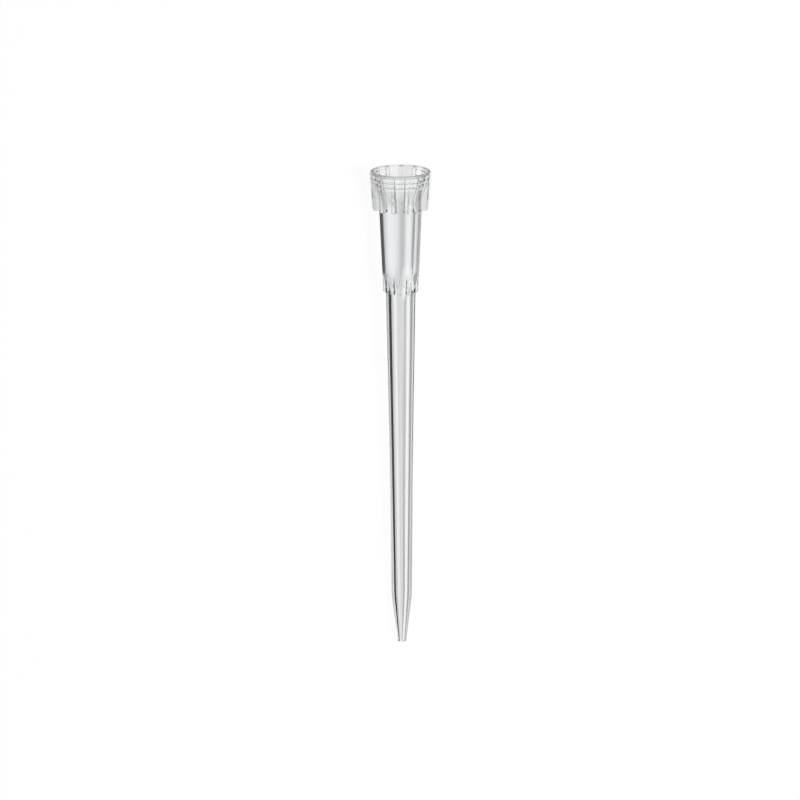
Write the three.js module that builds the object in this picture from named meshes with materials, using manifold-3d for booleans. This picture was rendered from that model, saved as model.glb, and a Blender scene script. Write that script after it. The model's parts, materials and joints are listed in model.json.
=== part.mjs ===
// A long, thin pipette tip, moulded in one piece in clear polypropylene: a finned collar
// round a ringed mouth, a barrel, a finned step, a narrow tube and a drawn-out point.
// Millimetres, +Z up. The tip lies at rest on its side, on two fins of its collar and on
// the edge where its point begins, with its mouth towards +Y. The origin is on the
// surface that it lies on, under the middle of its box.

import * as THREE from "three";
import { mergeVertices } from "three/addons/utils/BufferGeometryUtils.js";
import Module from "manifold-3d";

const wasm = await Module();
wasm.setup();

// Driving dimensions. A depth runs down from the rim, and a bore is a diameter.

const length = 46;
const facets = 48; // round the axis

// Mouth: the cone that a pipette's nozzle seals in, and the lip round it
const mouthBore = 5.2;
const mouthDepth = 1.9;
const mouthFootBore = 4.06;
const mouthWall = 0.28;
const lipBevel = 0.05;

// Seals: fine raised rings round the inside of the mouth, clear of the rim and of the
// mouth's foot
const sealCount = 3;
const sealWidth = 0.22;
const sealCrestWidth = 0.09;
const sealHeight = 0.1;
const sealRimClearance = 0.38; // to the middle of the first
const sealFootClearance = 0.54; // to the middle of the last

// Barrel: the wide upper tube, below a short throat where the mouth narrows to it
const throatLength = 0.7;
const barrelBore = 3.56;
const barrelWall = 0.29;
const barrelDepth = 9.7;
const barrelFootBore = 2.98;
const barrelFootWall = 0.265;

// Step: the bore narrows over its whole length, the outside steeply over its shoulder and
// then gently
const stepLength = 2.5;
const shoulderLength = 1.2;
const shoulderWall = 0.27;

// Tube: the narrow part, as long as the others leave it, tapering faster above its waist
const tubeBore = 1.84;
const tubeWall = 0.49;
const waistDepth = 27;
const waistBore = 1.42;
const waistWall = 0.43;
const tubeFootBore = 1.06;
const tubeFootWall = 0.45;

// Point: the short cone down to the orifice
const pointLength = 4.65;
const orificeBore = 0.42;
const orificeWall = 0.21;

// Collar fins: they stand just proud of the lip, and their flat feet seat in a rack
const collarFinCount = 13;
const collarFinOffset = 0.5; // pitches from straight below the axis to the first
const collarFinThickness = 0.36;
const collarFinProud = 0.11; // past the lip
const collarFinLedge = 0.68; // past the barrel, at the foot
const collarFinTopDepth = 0.1;
const collarFinDepth = 3.65;
const collarFinBevel = 0.12;

// Step fins: they carry the barrel's outline on over the step
const stepFinCount = 13;
const stepFinOffset = 0;
const stepFinThickness = 0.4;
const stepFinLedge = 0.23; // past the wall, at the foot
const stepFinLength = 2.1; // below the barrel's foot
const stepFinBevel = 0.18;
const stepFinRoot = 0.3; // how far they start above the barrel's foot, inside its wall
const stepFinInset = 0.015; // how far their tops lie under the barrel's surface

// Where each stretch ends, as a depth
const throatDepth = mouthDepth + throatLength;
const shoulderDepth = barrelDepth + shoulderLength;
const stepDepth = barrelDepth + stepLength;
const tubeDepth = length - pointLength;
const sealPitch = (mouthDepth - sealRimClearance - sealFootClearance) / (sealCount - 1);
const collarFinRadius = mouthBore / 2 + mouthWall + collarFinProud;
const stepFinFootDepth = barrelDepth + stepFinLength;

// The bore without its seals, as depth and radius, from the rim down
const boreLine = [
  [0, mouthBore / 2],
  [mouthDepth, mouthFootBore / 2],
  [throatDepth, barrelBore / 2],
  [barrelDepth, barrelFootBore / 2],
  [stepDepth, tubeBore / 2],
  [waistDepth, waistBore / 2],
  [tubeDepth, tubeFootBore / 2],
  [length, orificeBore / 2],
];

// The outside without its fins, from the rim down: the bore's radius plus the wall
const outerLine = [
  [0, mouthWall],
  [mouthDepth, mouthWall],
  [throatDepth, barrelWall],
  [barrelDepth, barrelFootWall],
  [shoulderDepth, shoulderWall],
  [stepDepth, tubeWall],
  [waistDepth, waistWall],
  [tubeDepth, tubeFootWall],
  [length, orificeWall],
].map(([depth, wall]) => [depth, radiusAt(boreLine, depth) + wall]);

function radiusAt(line, depth) {
  const below = line.findIndex(([stop], index) => index > 0 && stop >= depth);
  const [upperDepth, upperRadius] = line[below - 1];
  const [lowerDepth, lowerRadius] = line[below];
  return THREE.MathUtils.mapLinear(depth, upperDepth, lowerDepth, upperRadius, lowerRadius);
}

function middleOfWall(depth) {
  return (radiusAt(boreLine, depth) + radiusAt(outerLine, depth)) / 2;
}

// A point of a section: its distance from the axis, and its height above the orifice
function sectionPoint(radius, depth) {
  return new THREE.Vector2(radius, length - depth);
}

// One seal's outline, from the rim down: a low ridge with a flat crest
function sealPoints(depth) {
  const side = sealWidth / 2;
  const crest = sealCrestWidth / 2;
  const steps = [[-side, 0], [-crest, sealHeight], [crest, sealHeight], [side, 0]];
  return steps.map(([along, height]) =>
    sectionPoint(radiusAt(boreLine, depth + along) - height, depth + along));
}

// The wall's section: up the outside, over the lip, and down the bore with its seals
function wallSection() {
  const outside = outerLine.slice(1).reverse();
  const points = outside.map(([depth, radius]) => sectionPoint(radius, depth));
  points.push(sectionPoint(radiusAt(outerLine, lipBevel), lipBevel));
  points.push(sectionPoint(radiusAt(outerLine, 0) - lipBevel, 0));
  points.push(sectionPoint(radiusAt(boreLine, 0) + lipBevel, 0));
  points.push(sectionPoint(radiusAt(boreLine, lipBevel), lipBevel));
  for (let seal = 0; seal < sealCount; seal += 1) {
    points.push(...sealPoints(sealRimClearance + seal * sealPitch));
  }
  boreLine.slice(1).forEach(([depth, radius]) => points.push(sectionPoint(radius, depth)));
  points.push(points[0].clone());
  return points;
}

// How far from the axis a fin's outer edge runs, bevels aside
function edgeRadius({ topDepth, footDepth, topRadius, footRadius }, depth) {
  return THREE.MathUtils.mapLinear(depth, topDepth, footDepth, topRadius, footRadius);
}

// A fin's outline, rooted in the middle of the wall, with both its outer corners bevelled
function finOutline(fin) {
  const { topDepth, footDepth, topRadius, footRadius, topBevel, footBevel } = fin;
  const kinks = outerLine.map(([depth]) => depth).filter((depth) => depth > topDepth && depth < footDepth);
  const root = [topDepth, ...kinks, footDepth].map((depth) => sectionPoint(middleOfWall(depth), depth));
  const edge = [
    sectionPoint(footRadius - footBevel, footDepth),
    sectionPoint(edgeRadius(fin, footDepth - footBevel), footDepth - footBevel),
    sectionPoint(edgeRadius(fin, topDepth + topBevel), topDepth + topBevel),
    sectionPoint(topRadius - topBevel, topDepth),
  ];
  return new THREE.Shape([...root, ...edge]);
}

// A mesh with its seams merged becomes a solid that can be joined to another
function solidFrom(geometry) {
  geometry.deleteAttribute("normal");
  geometry.deleteAttribute("uv");
  const merged = mergeVertices(geometry);
  return new wasm.Manifold(new wasm.Mesh({
    numProp: 3,
    vertProperties: merged.attributes.position.array,
    triVerts: new Uint32Array(merged.index.array),
  }));
}

function geometryFrom(solid) {
  const mesh = solid.getMesh();
  const geometry = new THREE.BufferGeometry();
  geometry.setAttribute("position", new THREE.BufferAttribute(mesh.vertProperties, 3));
  geometry.setIndex(new THREE.BufferAttribute(mesh.triVerts, 1));
  geometry.computeVertexNormals();
  return geometry;
}

function wallSolid() {
  return solidFrom(new THREE.LatheGeometry(wallSection(), facets).rotateX(Math.PI / 2));
}

// The fins stand in a ring, evenly pitched round the axis
function withFins(solid, fin) {
  const { count, offset, thickness } = fin;
  const outline = finOutline(fin);
  let joined = solid;
  for (let turn = offset; turn < count; turn += 1) {
    const plate = new THREE.ExtrudeGeometry(outline, { depth: thickness, bevelEnabled: false });
    plate.translate(0, 0, -thickness / 2).rotateX(Math.PI / 2);
    plate.rotateZ(Math.PI / 2 + (turn * 2 * Math.PI) / count);
    joined = joined.add(solidFrom(plate));
  }
  return joined;
}

const collarFin = {
  count: collarFinCount,
  offset: collarFinOffset,
  thickness: collarFinThickness,
  topDepth: collarFinTopDepth,
  footDepth: collarFinDepth,
  topRadius: collarFinRadius,
  footRadius: radiusAt(outerLine, collarFinDepth) + collarFinLedge,
  topBevel: collarFinBevel,
  footBevel: collarFinBevel,
};

const stepFin = {
  count: stepFinCount,
  offset: stepFinOffset,
  thickness: stepFinThickness,
  topDepth: barrelDepth - stepFinRoot,
  footDepth: stepFinFootDepth,
  topRadius: radiusAt(outerLine, barrelDepth) - stepFinInset,
  footRadius: radiusAt(outerLine, stepFinFootDepth) + stepFinLedge,
  topBevel: 0,
  footBevel: stepFinBevel,
};

function moulding() {
  return withFins(withFins(wallSolid(), collarFin), stepFin);
}

// The slope of the axis when the two lowest fins and the foot of the tube both touch
function lieAngle() {
  const offDown = (collarFinOffset * 2 * Math.PI) / collarFinCount;
  const cornerDepth = collarFinTopDepth + collarFinBevel;
  const cornerRadius = edgeRadius(collarFin, cornerDepth);
  const reach = cornerRadius * Math.cos(offDown) + (collarFinThickness / 2) * Math.sin(offDown);
  return Math.atan2(reach - radiusAt(outerLine, tubeDepth), tubeDepth - cornerDepth);
}

const clearPolypropylene = new THREE.MeshStandardMaterial({
  color: 0xe6ebec,
  roughness: 0.15,
  metalness: 0,
  transparent: true,
  opacity: 0.4,
});

const tip = new THREE.Mesh(geometryFrom(moulding()), clearPolypropylene);
tip.name = "pipette_tip";
tip.rotation.x = lieAngle() - Math.PI / 2;

const box = new THREE.Box3().setFromObject(tip, true);
const middle = box.getCenter(new THREE.Vector3());
tip.position.set(-middle.x, -middle.y, -box.min.z);

const pipetteTip = new THREE.Group();
pipetteTip.add(tip);

export default pipetteTip;
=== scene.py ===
# A clear plastic pipette tip lying on a pale studio floor.
# It is shaped upright in millimetres round the Z axis, then laid down at its place in metres.
import json
import math

import bmesh
import bpy
from mathutils import Matrix, Vector


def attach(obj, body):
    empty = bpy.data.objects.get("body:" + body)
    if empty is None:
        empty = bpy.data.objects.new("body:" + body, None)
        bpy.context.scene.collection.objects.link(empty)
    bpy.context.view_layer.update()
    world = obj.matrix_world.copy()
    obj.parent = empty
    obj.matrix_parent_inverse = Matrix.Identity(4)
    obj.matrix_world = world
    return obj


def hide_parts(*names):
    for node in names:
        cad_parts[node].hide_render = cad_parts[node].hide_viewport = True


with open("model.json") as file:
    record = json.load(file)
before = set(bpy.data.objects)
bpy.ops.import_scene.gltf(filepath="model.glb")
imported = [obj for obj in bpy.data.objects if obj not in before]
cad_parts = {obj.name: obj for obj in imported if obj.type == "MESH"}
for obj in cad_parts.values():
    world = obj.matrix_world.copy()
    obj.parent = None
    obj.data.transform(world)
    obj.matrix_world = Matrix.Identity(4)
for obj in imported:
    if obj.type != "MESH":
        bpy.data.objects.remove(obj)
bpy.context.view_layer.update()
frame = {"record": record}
rimMount = next(mount for mount in frame["record"]["mounts"] if mount["name"] == "rim_face")
millimetre = 0.001


def pickOnly(piece):
    bpy.ops.object.select_all(action="DESELECT")
    piece.select_set(True)
    bpy.context.view_layer.objects.active = piece


def pickVerts(piece, test):
    # in edit mode, only the points that pass the test end up selected
    shape = bmesh.from_edit_mesh(piece.data)
    for face in shape.faces:
        face.select_set(False)
    for vert in shape.verts:
        vert.select_set(test(vert.co))
    shape.select_flush(True)
    bmesh.update_edit_mesh(piece.data)


def pickEdges(piece, test):
    # in edit mode, only the edges whose two ends pass the test end up selected
    shape = bmesh.from_edit_mesh(piece.data)
    for part in (shape.faces, shape.verts):
        for item in part:
            item.select_set(False)
    for edge in shape.edges:
        edge.select_set(test(edge.verts[0].co, edge.verts[1].co))
    bmesh.update_edit_mesh(piece.data)


def facingOut(piece):
    # in edit mode, all faces are turned outwards
    bpy.ops.mesh.select_all(action="SELECT")
    bpy.ops.mesh.normals_make_consistent(inside=False)
    bpy.ops.object.mode_set(mode="OBJECT")


def combine(piece, other, operation):
    pickOnly(piece)
    bpy.ops.object.modifier_add(type="BOOLEAN")
    step = piece.modifiers[-1]
    step.operation = operation
    step.solver = "EXACT"
    step.object = other
    bpy.ops.object.modifier_apply(modifier=step.name)
    bpy.data.objects.remove(other)


# Both lines run from the rim down, as depth and radius. Each inner corner has its own blend,
# which is how far its curve reaches.
tip = {
    "length": 46.0,
    "sides": 256,
    "bore": [(0, 2.6), (1.9, 2.03), (2.6, 1.78), (9.7, 1.49), (12.2, 0.92), (27, 0.71),
             (41.35, 0.53), (46, 0.21)],
    "boreBlends": [0.12, 0.2, 0.3, 0.5, 3, 0.5],
    "outside": [(0, 2.88), (1.9, 2.31), (2.6, 2.07), (9.7, 1.755), (10.9, 1.486), (12.2, 1.41),
                (27, 1.14), (41.35, 0.98), (46, 0.42)],
    "outsideBlends": [0.15, 0.2, 0.2, 0.3, 0.2, 3, 0.25],
    "lipRounding": 0.07,
    "boreRounding": 0.07,
    "orificeRounding": 0.03,
    "curveSteps": 6,
    "overrun": 0.5,  # how far the bore's cutter stands out at both ends
    "mergeDistance": 0.0005,  # points closer than this are made one
    "smoothAngle": 30,
    "mountRadius": 2.74,  # how far from the axis the rim mount's point lies
}

seals = {"count": 3, "firstDepth": 0.38, "pitch": 0.49, "width": 0.24, "height": 0.12, "steps": 10}


def radiusAt(line, depth):
    for (upper, upperRadius), (lower, lowerRadius) in zip(line, line[1:]):
        if depth <= lower:
            return upperRadius + (lowerRadius - upperRadius) * (depth - upper) / (lower - upper)


def between(start, end, share):
    return tuple(a + (b - a) * share for a, b in zip(start, end))


def towards(start, end, reach):
    return between(start, end, reach / math.dist(start, end))


def softened(line, blends):
    # each inner corner gives way to a short curve
    soft = [line[0]]
    for before, corner, after, blend in zip(line, line[1:], line[2:], blends):
        start, end = towards(corner, before, blend), towards(corner, after, blend)
        for step in range(tip["curveSteps"] + 1):
            share = step / tip["curveSteps"]
            soft.append(between(between(start, corner, share), between(corner, end, share), share))
    return soft + [line[-1]]


def roundedEnd(line, depth, rounding, inwards, bulge):
    # a quarter round from an end's flat face on to the line, which the wall bulges towards
    radius = radiusAt(line, depth + inwards * rounding)
    points = []
    for step in range(tip["curveSteps"] + 1):
        turn = math.radians(90) * step / tip["curveSteps"]
        along = rounding * (1 - math.cos(turn))
        points.append((depth + inwards * along, radius - bulge * rounding * (1 - math.sin(turn))))
    return points


def sealRidges():
    ridges = []
    for seal in range(seals["count"]):
        for step in range(seals["steps"] + 1):
            share = step / seals["steps"] - 0.5
            depth = seals["firstDepth"] + seal * seals["pitch"] + share * seals["width"]
            height = seals["height"] * math.cos(math.pi * share)
            ridges.append((depth, radiusAt(tip["bore"], depth) - height))
    return ridges


def stretchOf(line, above, below):
    return [point for point in line if above < point[0] < below]


def boreLine():
    length, flare, small = tip["length"], tip["boreRounding"], tip["orificeRounding"]
    top = roundedEnd(tip["bore"], 0, flare, 1, -1)
    foot = roundedEnd(tip["bore"], length, small, -1, -1)[::-1]
    middle = stretchOf(softened(tip["bore"], tip["boreBlends"]), flare, length - small)
    above = (-tip["overrun"], top[0][1])
    below = (length + tip["overrun"], foot[-1][1])
    return [above, *top, *sealRidges(), *middle, *foot, below]


def outsideLine():
    length, lip, small = tip["length"], tip["lipRounding"], tip["orificeRounding"]
    top = roundedEnd(tip["outside"], 0, lip, 1, 1)
    foot = roundedEnd(tip["outside"], length, small, -1, 1)[::-1]
    middle = stretchOf(softened(tip["outside"], tip["outsideBlends"]), lip, length - small)
    return [*top, *middle, *foot]


def turned(name, line):
    # a filled ring is drawn out down the axis, and resized at each depth
    (depth, radius), *rest = line
    bpy.ops.object.select_all(action="DESELECT")
    bpy.ops.mesh.primitive_circle_add(vertices=tip["sides"], radius=radius, fill_type="NGON",
                                      location=(0, 0, tip["length"] - depth))
    piece = bpy.context.object
    piece.name = name
    bpy.ops.object.transform_apply(location=True)
    bpy.ops.object.mode_set(mode="EDIT")
    for nextDepth, nextRadius in rest:
        bpy.ops.mesh.extrude_region_move(TRANSFORM_OT_translate={"value": (0, 0, depth - nextDepth)})
        ratio = nextRadius / radius
        bpy.ops.transform.resize(value=(ratio, ratio, 1),
                                 center_override=(0, 0, tip["length"] - nextDepth))
        depth, radius = nextDepth, nextRadius
    facingOut(piece)
    return piece


wall = turned("pipette_tip_visual", outsideLine())
bore = turned("bore", boreLine())
print("turned the wall and its bore:", len(wall.data.polygons), "and", len(bore.data.polygons), "faces")

# A fin ring's turn is how far its first fin is past straight below the axis, as a share of the
# pitch.
collarFin = {
    "count": 13, "turn": 0.5, "thickness": 0.36, "rootRadius": 1.3, "topDepth": 0.1, "footDepth": 3.65,
    "topRadius": 2.987, "footRadius": 2.7, "topCorner": 0.12, "footCorner": 0.12, "edgeRounding": 0.03,
}

stepFin = {
    "count": 13, "turn": 0, "thickness": 0.4, "rootRadius": 0.7, "topDepth": 9.4, "footDepth": 11.8,
    "topRadius": 1.74, "footRadius": 1.663, "topCorner": 0, "footCorner": 0.18, "edgeRounding": 0.09,
}

finEdges = {"steps": 3, "nearly": 0.01}  # two places closer than nearly count as one


def finPlate(fin):
    # a block from inside the bore out to the fin's edge, its foot drawn in and its corners cut
    root, top = fin["rootRadius"], fin["topRadius"]
    high, low = tip["length"] - fin["topDepth"], tip["length"] - fin["footDepth"]
    middle = (root + top) / 2
    centre = (high + low) / 2
    bpy.ops.object.select_all(action="DESELECT")
    bpy.ops.mesh.primitive_cube_add(size=1, location=(middle, 0, centre),
                                    scale=(top - root, fin["thickness"], high - low))
    plate = bpy.context.object
    bpy.ops.object.transform_apply(location=True, scale=True)
    bpy.ops.object.mode_set(mode="EDIT")
    pickVerts(plate, lambda co: co.x > middle and co.z < centre)
    bpy.ops.transform.translate(value=(fin["footRadius"] - top, 0, 0))
    for corner, above in ((fin["topCorner"], True), (fin["footCorner"], False)):
        if corner:
            pickEdges(plate, lambda a, b: min(a.x, b.x) > middle and a.z == b.z
                      and (a.z > centre) == above)
            bpy.ops.mesh.bevel(offset=corner, segments=1, affect="EDGES")
    # the rim of both faces is softened, but not the root, which is inside the wall
    nearly = finEdges["nearly"]
    pickEdges(plate, lambda a, b: abs(a.y - b.y) < nearly and max(a.x, b.x) > root + nearly)
    bpy.ops.mesh.bevel(offset=fin["edgeRounding"], segments=finEdges["steps"], affect="EDGES")
    facingOut(plate)
    return plate


def finRing(fin):
    # one plate is copied round the axis
    plate = finPlate(fin)
    copies = []
    for index in range(fin["count"]):
        pickOnly(plate)
        bpy.ops.object.duplicate(linked=False)
        copy = bpy.context.object
        copy.rotation_euler.z = math.pi / 2 + (index + fin["turn"]) * 2 * math.pi / fin["count"]
        bpy.ops.object.transform_apply(rotation=True)
        copies.append(copy)
    bpy.data.objects.remove(plate)
    pickOnly(copies[0])
    for copy in copies:
        copy.select_set(True)
    bpy.ops.object.join()
    return bpy.context.object


for fin in (collarFin, stepFin):
    combine(wall, finRing(fin), "UNION")
combine(wall, bore, "DIFFERENCE")
pickOnly(wall)
bpy.ops.object.mode_set(mode="EDIT")
bpy.ops.mesh.select_all(action="SELECT")
bpy.ops.mesh.remove_doubles(threshold=tip["mergeDistance"])
facingOut(wall)

# laid down so that the rim mount's point on the upright tip comes to its place
rimPoint = Vector((0, -tip["mountRadius"], tip["length"])) * millimetre
axis = Vector(rimMount["axis"])
tilt = math.atan2(axis.z, axis.y)
lie = Matrix.Rotation(tilt - math.pi / 2, 4, "X")
orifice = Vector(rimMount["pos_m"]) - lie @ rimPoint
laid = Matrix.Translation(orifice) @ lie @ Matrix.Scale(millimetre, 4)
wall.matrix_world = laid
pickOnly(wall)
bpy.ops.object.transform_apply(location=True, rotation=True, scale=True)
bpy.ops.object.shade_smooth_by_angle(angle=math.radians(tip["smoothAngle"]))

shape = bmesh.new()
shape.from_mesh(wall.data)
print("joined the fins and cut the bore: open edges", sum(not edge.is_manifold for edge in shape.edges),
      "volume in mm3", round(shape.calc_volume() / millimetre ** 3, 2),
      "triangles", sum(len(face.verts) - 2 for face in shape.faces))
shape.free()


def nodeIn(tree, kind, **settings):
    # a setting is a socket's value where a socket has that name, and else a property
    node = tree.nodes.new(kind)
    for name, value in settings.items():
        if name in node.inputs:
            node.inputs[name].default_value = value
        else:
            setattr(node, name, value)
    return node


def stepped(tree, value, low, high, start=0.0, end=1.0, curve="SMOOTHSTEP"):
    # a step from start to end as the value goes from low to high
    step = nodeIn(tree, "ShaderNodeMapRange", interpolation_type=curve)
    for name, setting in (("From Min", low), ("From Max", high), ("To Min", start), ("To Max", end)):
        if isinstance(setting, bpy.types.NodeSocket):
            tree.links.new(setting, step.inputs[name])
        else:
            step.inputs[name].default_value = setting
    tree.links.new(value, step.inputs["Value"])
    return step.outputs["Result"]


def scaled(tree, value, factor):
    product = nodeIn(tree, "ShaderNodeMath", operation="MULTIPLY")
    for socket, setting in zip(product.inputs, (value, factor)):
        if isinstance(setting, bpy.types.NodeSocket):
            tree.links.new(setting, socket)
        else:
            socket.default_value = setting
    return product.outputs[0]


def added(tree, first, second):
    total = nodeIn(tree, "ShaderNodeMath", operation="ADD")
    tree.links.new(first, total.inputs[0])
    tree.links.new(second, total.inputs[1])
    return total.outputs[0]


def mixedColour(tree, factor, first, second):
    mix = nodeIn(tree, "ShaderNodeMix", data_type="RGBA")
    tree.links.new(factor, mix.inputs[0])
    for socket, colour in zip((mix.inputs[6], mix.inputs[7]), (first, second)):
        if isinstance(colour, bpy.types.NodeSocket):
            tree.links.new(colour, socket)
        else:
            socket.default_value = colour
    return mix.outputs[2]


def mixedShader(tree, factor, first, second):
    mix = nodeIn(tree, "ShaderNodeMixShader")
    tree.links.new(factor, mix.inputs["Fac"])
    tree.links.new(first, mix.inputs[1])
    tree.links.new(second, mix.inputs[2])
    return mix.outputs["Shader"]


plasticLook = {
    "tints": ((0.972, 0.977, 0.982, 1), (0.985, 0.988, 0.99, 1)), "tintGrain": 0.35,
    "collarTint": (0.985, 0.988, 0.99, 1), "finPaintedShade": (0.93, 0.935, 0.94, 1),  # painted shade: the fins are tinted darker than the wall
    "ior": 1.49,
    "roughness": 0.02, "haze": 0.05, "hazeGrain": 1.3, "hazeDetail": 4,
    "finShadeStart": (0.03, 0.08),  # how far past the wall the fins' painted shade begins and is full
    # the collar's finish and then the lip's, each with the depths where it begins and is full
    "satin": 0.13, "satinFrom": 4.2, "satinTo": 3.2,
    "lipSatin": 0.45, "lipFrom": 0.35, "lipTo": 0.1,
    "flowGrain": 2.2, "flowStretch": 0.06, "flowHeight": 0.7,
    "turningPitch": 0.31, "turningHeight": 0.3, "turningWaver": 0.4,  # marks of the turned mould
    "reliefDepth": 0.003,  # all heights are shares of this
    "lampFacing": (0.975, 0.978, 0.98, 1), "lampEdge": (0.35, 0.355, 0.36, 1), "lampPower": 1.5,
}


def noiseOn(tree, place, grain, stretch=1.0, detail=2.0):
    squeezed = nodeIn(tree, "ShaderNodeMapping", Scale=(1, 1, stretch))
    noise = nodeIn(tree, "ShaderNodeTexNoise", Scale=grain, Detail=detail)
    tree.links.new(place, squeezed.inputs["Vector"])
    tree.links.new(squeezed.outputs["Vector"], noise.inputs["Vector"])
    return noise.outputs["Fac"]


def wallRadius(tree, height):
    # the outside's radius, built up one stretch after another from the orifice
    line = [(tip["length"] - depth, radius) for depth, radius in reversed(tip["outside"])]
    (low, start), (high, end), *rest = line
    radius = stepped(tree, height, low, high, start, end, curve="LINEAR")
    for nextHigh, nextEnd in rest:
        low, start, high, end = high, end, nextHigh, nextEnd
        radius = added(tree, radius, stepped(tree, height, low, high, 0, end - start, curve="LINEAR"))
    return radius


def finShadeMask(tree, parts):
    # 1 on what stands out past the wall, where the fins' painted shade goes
    across = nodeIn(tree, "ShaderNodeCombineXYZ")
    radius = nodeIn(tree, "ShaderNodeVectorMath", operation="LENGTH")
    proud = nodeIn(tree, "ShaderNodeMath", operation="SUBTRACT")
    link = tree.links.new
    link(parts.outputs["X"], across.inputs["X"])
    link(parts.outputs["Y"], across.inputs["Y"])
    link(across.outputs[0], radius.inputs[0])
    link(radius.outputs["Value"], proud.inputs[0])
    link(wallRadius(tree, parts.outputs["Z"]), proud.inputs[1])
    return stepped(tree, proud.outputs[0], *plasticLook["finShadeStart"])


def clearPlastic():
    look = plasticLook
    material = bpy.data.materials.new("clear polypropylene")
    material.use_nodes = True
    tree = material.node_tree
    tree.nodes.clear()
    link = tree.links.new
    output = nodeIn(tree, "ShaderNodeOutputMaterial")
    plastic = nodeIn(tree, "ShaderNodeBsdfPrincipled", IOR=look["ior"])
    plastic.inputs["Transmission Weight"].default_value = 1

    # the place on the upright tip in millimetres
    upright = laid.inverted()
    place = nodeIn(tree, "ShaderNodeTexCoord")
    mapping = nodeIn(tree, "ShaderNodeMapping", Location=upright.to_translation(),
                     Rotation=upright.to_euler(), Scale=upright.to_scale())
    parts = nodeIn(tree, "ShaderNodeSeparateXYZ")
    link(place.outputs["Object"], mapping.inputs["Vector"])
    at = mapping.outputs["Vector"]
    link(at, parts.inputs[0])
    height = parts.outputs["Z"]

    # a clear melt that set a little unevenly
    tint = mixedColour(tree, noiseOn(tree, at, look["tintGrain"]), *look["tints"])
    collar = stepped(tree, height, tip["length"] - look["satinFrom"], tip["length"] - look["satinTo"])
    tint = mixedColour(tree, collar, tint, look["collarTint"])
    # painted shade: the fins are made darker than the wall
    tint = mixedColour(tree, finShadeMask(tree, parts), tint, look["finPaintedShade"])
    link(tint, plastic.inputs["Base Color"])

    # glossy with a breath of haze, and satin round the collar
    haze = noiseOn(tree, at, look["hazeGrain"], detail=look["hazeDetail"])
    haze = scaled(tree, haze, look["haze"])
    lip = stepped(tree, height, tip["length"] - look["lipFrom"], tip["length"] - look["lipTo"])
    satin = stepped(tree, collar, 0, 1, look["roughness"], look["satin"])
    satin = stepped(tree, lip, 0, 1, satin, look["lipSatin"])
    link(added(tree, haze, satin), plastic.inputs["Roughness"])

    # flow marks run along the tip, and the mould's turning marks run round it
    flow = scaled(tree, noiseOn(tree, at, look["flowGrain"], look["flowStretch"]), look["flowHeight"])
    rings = nodeIn(tree, "ShaderNodeTexWave", bands_direction="Z", Scale=1 / look["turningPitch"],
                   Distortion=look["turningWaver"])
    link(at, rings.inputs["Vector"])
    turning = scaled(tree, rings.outputs["Fac"], look["turningHeight"])
    relief = nodeIn(tree, "ShaderNodeBump", Distance=look["reliefDepth"] * millimetre)
    link(added(tree, flow, turning), relief.inputs["Height"])
    link(relief.outputs["Normal"], plastic.inputs["Normal"])

    # the lamp reaches what lies behind the plastic, less so through its edges
    clear = nodeIn(tree, "ShaderNodeBsdfTransparent")
    rim = nodeIn(tree, "ShaderNodeLayerWeight", Blend=0.5)
    bend = nodeIn(tree, "ShaderNodeMath", operation="POWER")
    bend.inputs[1].default_value = look["lampPower"]
    link(rim.outputs["Facing"], bend.inputs[0])
    shade = mixedColour(tree, bend.outputs[0], look["lampFacing"], look["lampEdge"])
    link(shade, clear.inputs["Color"])
    path = nodeIn(tree, "ShaderNodeLightPath")
    surface = plastic.outputs["BSDF"]
    for ray in ("Is Shadow Ray", "Is Diffuse Ray"):
        surface = mixedShader(tree, path.outputs[ray], surface, clear.outputs["BSDF"])
    link(surface, output.inputs["Surface"])
    return material


wall.data.materials.clear()
wall.data.materials.append(clearPlastic())
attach(wall, "root")
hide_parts("pipette_tip")
print("finished the plastic")

# Seen by way of the plastic, the floor is painted darker by the direction that a ray comes from
# and by where it lands. The leans and amounts are set for this one camera, and from other sides
# the dark lines slide. A lean is an angle across the floor, in degrees from the upright, and a
# slant is how far a ray is off the direction that leans so, from 0 to 1.
floorLook = {
    "size": 6, "albedo": 0.9,
    # how much of it is plain white to the camera, and how much painted light whitens it, over the tip's
    # shadow, for light that passed through the collar
    "whiteShare": 0.92, "collarPaintedLight": 0.6,
    # where along the floor each zone after the tube begins and is full
    "zones": {"step": (0.0105, 0.0115), "barrel": (0.0117, 0.0125), "collar": (0.0185, 0.0205),
              "rim": (0.0208, 0.0218)},
    # For light turned back by the wall, painted shade in place of a room with dark sides: in each zone,
    # the slants where a side's dimming begins and is full, and what it leaves.
    "sides": [
        {"lean": -57.4, "tube": (0.4, 0.72, 0.0), "step": (0.25, 0.5, 0.45),
         "barrel": (0.16, 0.3, 0.1), "collar": (0.16, 0.4, 0.6), "rim": (0.16, 0.4, 0.9)},
        {"lean": 17.6, "tube": (0.27, 0.55, 0.35), "step": (0.27, 0.55, 0.5),
         "barrel": (0.27, 0.55, 0.35), "collar": (0.2, 0.5, 0.8), "rim": (0.2, 0.5, 0.95)},
    ],
    # For light bent by the bore, painted dark strips: the slants where a strip begins and ends, its
    # stretch of the floor, and how much it takes away.
    "strips": [
        {"lean": -57.4, "slants": (0.175, 0.25), "stretch": (0.0113, 0.0195), "dims": 0.78},
        {"lean": -57.4, "slants": (0.15, 0.32), "stretch": (0.0125, 0.0195), "dims": 0.15},
        {"lean": -57.4, "slants": (0.15, 0.3), "stretch": (-0.025, 0.0108), "dims": 0.55},
        {"lean": 32.6, "slants": (-0.1, 0.2), "stretch": (-0.025, 0.0108), "dims": 0.25},
    ],
    "stripFade": 0.0012,  # the length over which a strip comes in and goes out
}


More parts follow.
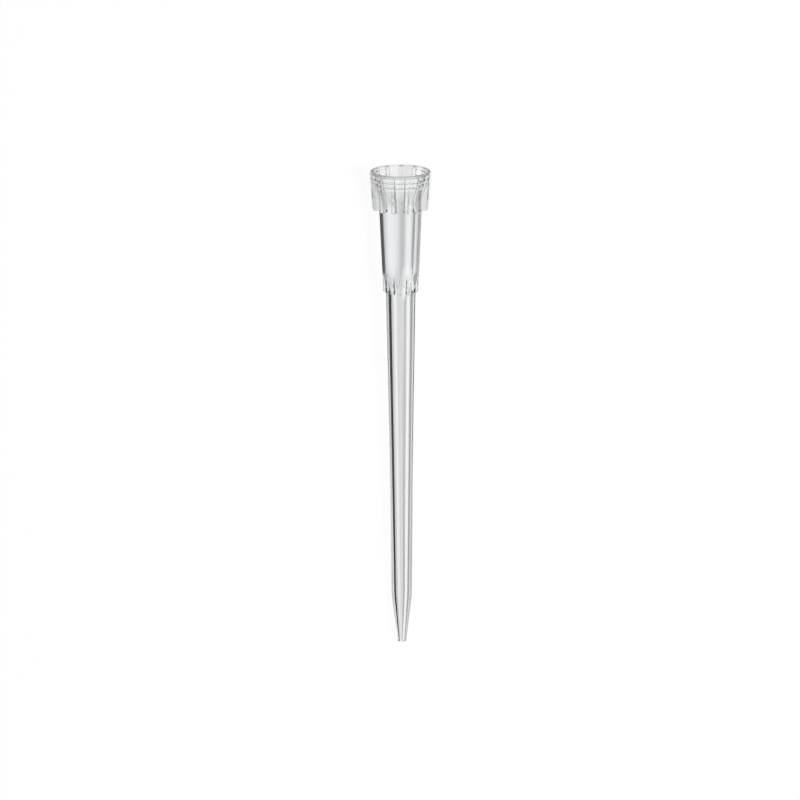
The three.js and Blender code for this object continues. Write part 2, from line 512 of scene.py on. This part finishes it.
def slantFrom(tree, lean):
    # given a fixed direction for its normal, Layer Weight reads the direction of the ray
    angle = math.radians(lean)
    slant = nodeIn(tree, "ShaderNodeLayerWeight", Blend=0.5)
    leaning = nodeIn(tree, "ShaderNodeCombineXYZ", X=math.sin(angle), Z=math.cos(angle))
    tree.links.new(leaning.outputs[0], slant.inputs["Normal"])
    return slant.outputs["Facing"]


def paleFloor():
    look = floorLook
    bpy.ops.object.select_all(action="DESELECT")
    bpy.ops.mesh.primitive_plane_add(size=look["size"], location=(0, 0, 0))
    floor = bpy.context.object
    floor.name = "floor"
    material = bpy.data.materials.new("pale floor")
    material.use_nodes = True
    tree = material.node_tree
    tree.nodes.clear()
    output = nodeIn(tree, "ShaderNodeOutputMaterial")
    path = nodeIn(tree, "ShaderNodeLightPath")
    place = nodeIn(tree, "ShaderNodeTexCoord")
    parts = nodeIn(tree, "ShaderNodeSeparateXYZ")
    tree.links.new(place.outputs["Object"], parts.inputs[0])
    along = parts.outputs["Y"]

    # white to the camera, but for the tip's faint shadow
    diffuse = nodeIn(tree, "ShaderNodeBsdfDiffuse", Color=(*[look["albedo"]] * 3, 1))
    white = nodeIn(tree, "ShaderNodeEmission", Strength=1)
    shown = scaled(tree, path.outputs["Is Camera Ray"], look["whiteShare"])
    # painted light: seen through the collar, the floor glows partly white over the tip's shadow there
    paintedLightThroughCollar = stepped(tree, along, *look["zones"]["collar"], 0, look["collarPaintedLight"])
    paintedLightThroughCollar = scaled(tree, path.outputs["Is Transmission Ray"], paintedLightThroughCollar)
    whiteness = added(tree, shown, paintedLightThroughCollar)
    surface = mixedShader(tree, whiteness, diffuse.outputs["BSDF"], white.outputs["Emission"])

    # 1 for light that the plastic has turned back at least once
    turnedBack = nodeIn(tree, "ShaderNodeMath", operation="MINIMUM")
    turnedBack.inputs[1].default_value = 1
    tree.links.new(path.outputs["Glossy Depth"], turnedBack.inputs[0])
    for side in look["sides"]:
        settings = side["tube"]
        for zone, (start, full) in look["zones"].items():
            settings = [stepped(tree, along, start, full, before, after)
                        for before, after in zip(settings, side[zone])]
        begins, ends, left = settings
        dim = nodeIn(tree, "ShaderNodeEmission")
        tree.links.new(left, dim.inputs["Strength"])
        amount = stepped(tree, slantFrom(tree, side["lean"]), begins, ends)
        amount = scaled(tree, amount, turnedBack.outputs[0])
        surface = mixedShader(tree, amount, surface, dim.outputs["Emission"])

    fade = look["stripFade"]
    for strip in look["strips"]:
        slant = slantFrom(tree, strip["lean"])
        begins, ends = strip["slants"]
        start, stop = strip["stretch"]
        middle = (begins + ends) / 2
        amount = path.outputs["Is Transmission Ray"]
        for value, low, high in ((slant, begins, middle), (slant, ends, middle),
                                 (along, start, start + fade), (along, stop, stop - fade)):
            amount = scaled(tree, amount, stepped(tree, value, low, high))
        amount = scaled(tree, amount, strip["dims"])
        dark = nodeIn(tree, "ShaderNodeEmission", Strength=0)
        surface = mixedShader(tree, amount, surface, dark.outputs["Emission"])

    tree.links.new(surface, output.inputs["Surface"])
    floor.data.materials.append(material)


paleFloor()
print("laid the floor")

studio = {"room": 0.35, "backdrop": 1.0,
          "lampLean": 18, "lampDistance": 0.5, "lampSize": 0.1, "lampEnergy": 2.1}


def lightStudio():
    # the room lights the floor softly, and the camera and the plastic see a white backdrop
    world = bpy.data.worlds.new("studio")
    bpy.context.scene.world = world
    world.use_nodes = True
    tree = world.node_tree
    tree.nodes.clear()
    output = nodeIn(tree, "ShaderNodeOutputWorld")
    room = nodeIn(tree, "ShaderNodeBackground", Color=(1, 1, 1, 1), Strength=studio["room"])
    backdrop = nodeIn(tree, "ShaderNodeBackground", Color=(1, 1, 1, 1), Strength=studio["backdrop"])
    path = nodeIn(tree, "ShaderNodeLightPath")
    light = mixedShader(tree, path.outputs["Is Diffuse Ray"], backdrop.outputs[0], room.outputs[0])
    tree.links.new(light, output.inputs["Surface"])

    lean = math.radians(studio["lampLean"])
    place = Vector((math.sin(lean), 0, math.cos(lean))) * studio["lampDistance"]
    bpy.ops.object.light_add(type="AREA", location=place, rotation=(0, lean, 0))
    lamp = bpy.context.object
    lamp.name = "softbox"
    lamp.data.shape = "DISK"
    lamp.data.size = studio["lampSize"]
    lamp.data.energy = studio["lampEnergy"]
    lamp.visible_glossy = False  # the plastic shows only the backdrop, and not the lamp itself
    lamp.visible_transmission = False


lightStudio()
print("lit the studio")

# The camera looks at the middle of the tip, down on it, a little towards its point and a little
# from the left.
view = {"angleToAxis": 76.6, "around": -12.4, "roll": -0.2, "distance": 1.2, "width": 0.07625,
        "shiftRight": 0.00011, "shiftDown": 0.00063,
        "sensorWidth": 36, "clipStart": 0.05, "clipEnd": 20}


def placeCamera():
    elevation = tilt + math.radians(view["angleToAxis"])
    middle = orifice + axis * (tip["length"] / 2 * millimetre)
    back = Vector((0, math.cos(elevation), math.sin(elevation))) * view["distance"]
    up = Vector((0, math.sin(elevation), -math.cos(elevation))) * view["shiftDown"]
    right = Vector((1, 0, 0)) * view["shiftRight"]
    roll = Matrix.Rotation(math.radians(view["roll"]), 4, "Z")
    facing = Matrix.Rotation(elevation - math.pi / 2, 4, "X") @ roll
    around = Matrix.Rotation(math.radians(view["around"]), 4, axis)
    bpy.ops.object.camera_add(location=middle + around @ (back + up - right),
                              rotation=(around @ facing).to_euler())
    camera = bpy.context.object
    camera.data.sensor_width = view["sensorWidth"]
    camera.data.lens = view["sensorWidth"] * view["distance"] / view["width"]
    camera.data.clip_start = view["clipStart"]
    camera.data.clip_end = view["clipEnd"]
    bpy.context.scene.camera = camera


placeCamera()
print("placed the camera")
bpy.context.scene.view_settings.view_transform = "Standard"
